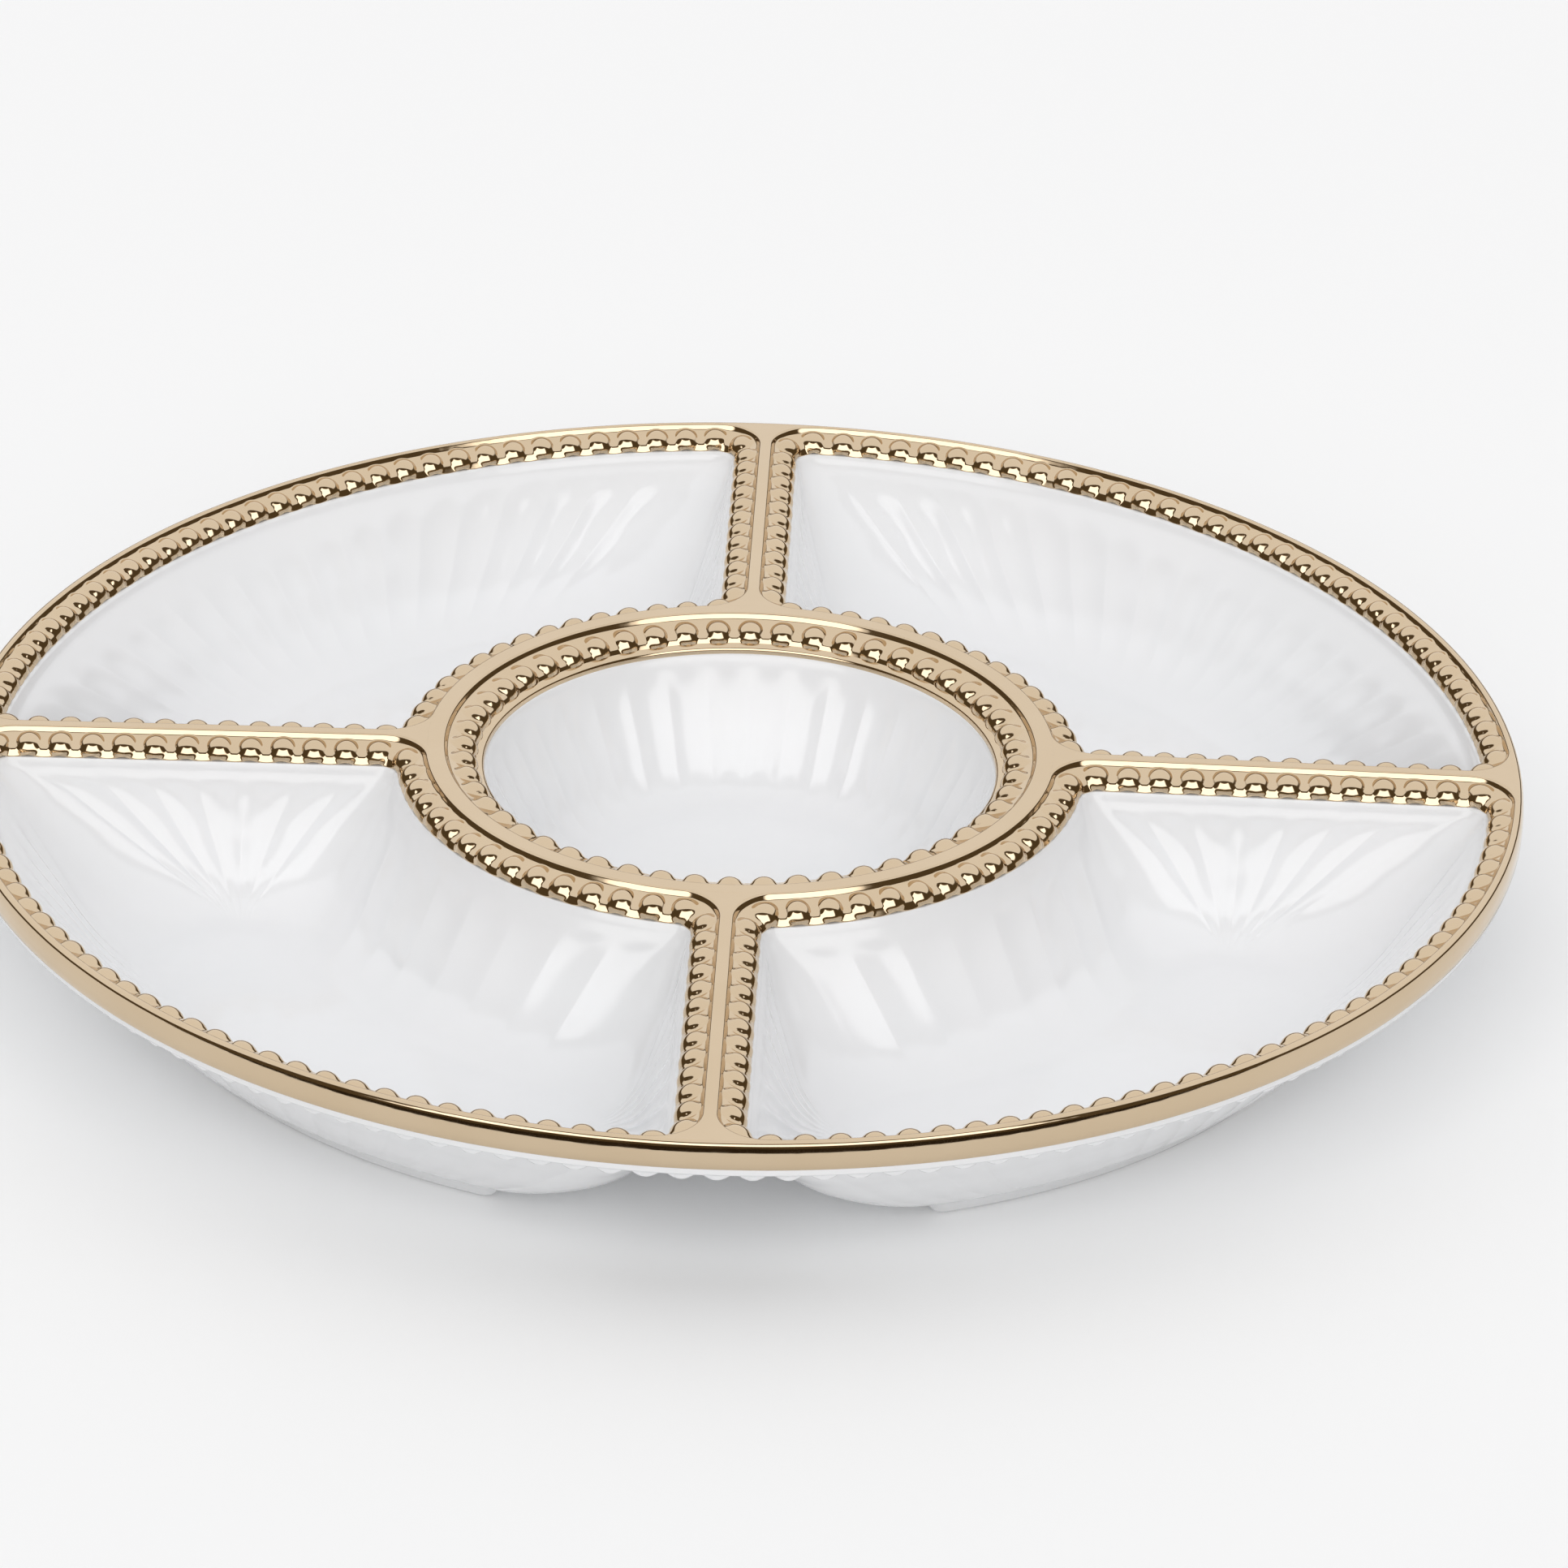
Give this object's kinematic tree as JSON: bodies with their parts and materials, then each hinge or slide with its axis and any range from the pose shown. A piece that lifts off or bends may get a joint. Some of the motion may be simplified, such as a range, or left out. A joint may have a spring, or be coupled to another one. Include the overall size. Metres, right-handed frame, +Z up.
{
  "type": "chip and dip server",
  "caption": "Round white ceramic serving dish with a fluted dip bowl in the middle, fluted fan-shaped bowls around it, gilded beaded rims and dividers, and arc-shaped feet.",
  "frame": {"origin": "centre of the plane that the four feet stand on", "axes": "+Z up along the dish's axis; the dividers lie along X and Y; front is -Y"},
  "size_m": [0.36, 0.36, 0.0433],
  "materials": {
    "gilding": "mirror-bright pale gold plating over glazed ceramic",
    "porcelain": "glossy white glaze"
  },
  "bodies": {
    "root": {"outer_rim": "gilding", "centre_ring": "gilding", "dip_bead_ring": "gilding", "dip_lip": "gilding", "dip_bowl": "porcelain", "under_rim_moulding": "porcelain", "section_bowl_back_right": "porcelain", "section_beads_back_right": "gilding", "foot_back_right": "porcelain", "section_bowl_back_left": "porcelain", "section_beads_back_left": "gilding", "foot_back_left": "porcelain", "section_bowl_front_left": "porcelain", "section_beads_front_left": "gilding", "foot_front_left": "porcelain", "section_bowl_front_right": "porcelain", "section_beads_front_right": "gilding", "foot_front_right": "porcelain", "divider_back": "gilding", "divider_left": "gilding", "divider_front": "gilding", "divider_right": "gilding"}
  },
  "joints": []
}
